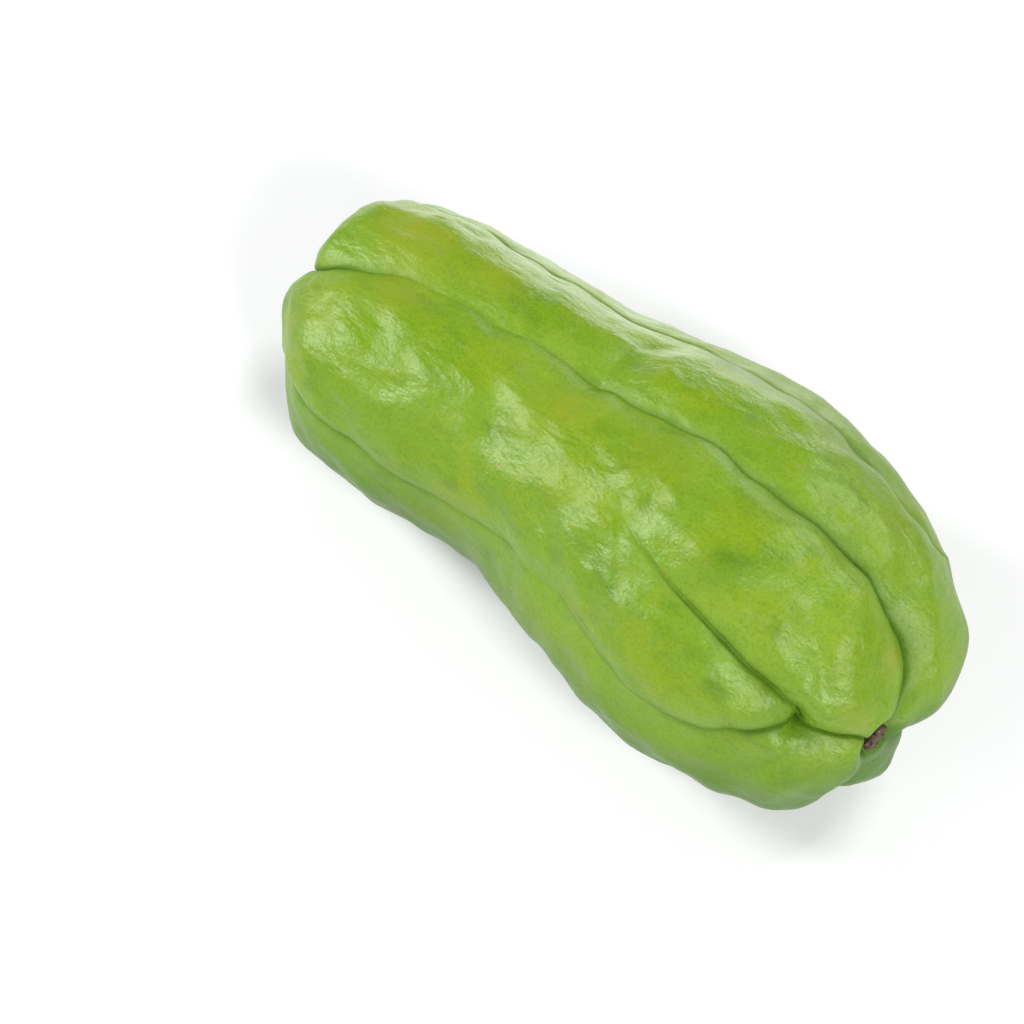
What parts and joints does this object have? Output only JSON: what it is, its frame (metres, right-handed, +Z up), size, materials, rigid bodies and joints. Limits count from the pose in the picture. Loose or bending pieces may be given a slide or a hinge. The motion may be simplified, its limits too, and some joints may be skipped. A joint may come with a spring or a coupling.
{
  "type": "chayote squash",
  "caption": "Whole picked chayote squash, pear-shaped and deeply lobed, lying on its side, with the dried flower scar at its fat end and a cut stalk stub at its narrow end.",
  "frame": {"origin": "on the surface that the fruit rests on, under the middle of its bounding box", "axes": "+Z up, +X along the fruit from its stalk end to its fat blossom end, -Y the near side with the widest lobe"},
  "size_m": [0.166, 0.0824, 0.0659],
  "materials": {
    "fruit_skin": "waxy green rind, mottled yellow-green, finely wrinkled, softly glossy",
    "dried_blossom": "dry, brown, crumpled and matte",
    "cut_stalk": "pale dry green-brown, matte, with a drier cut end"
  },
  "bodies": {
    "root": {"fruit": "fruit_skin", "blossom_scar": "dried_blossom", "stem_stub": "cut_stalk"}
  },
  "joints": []
}
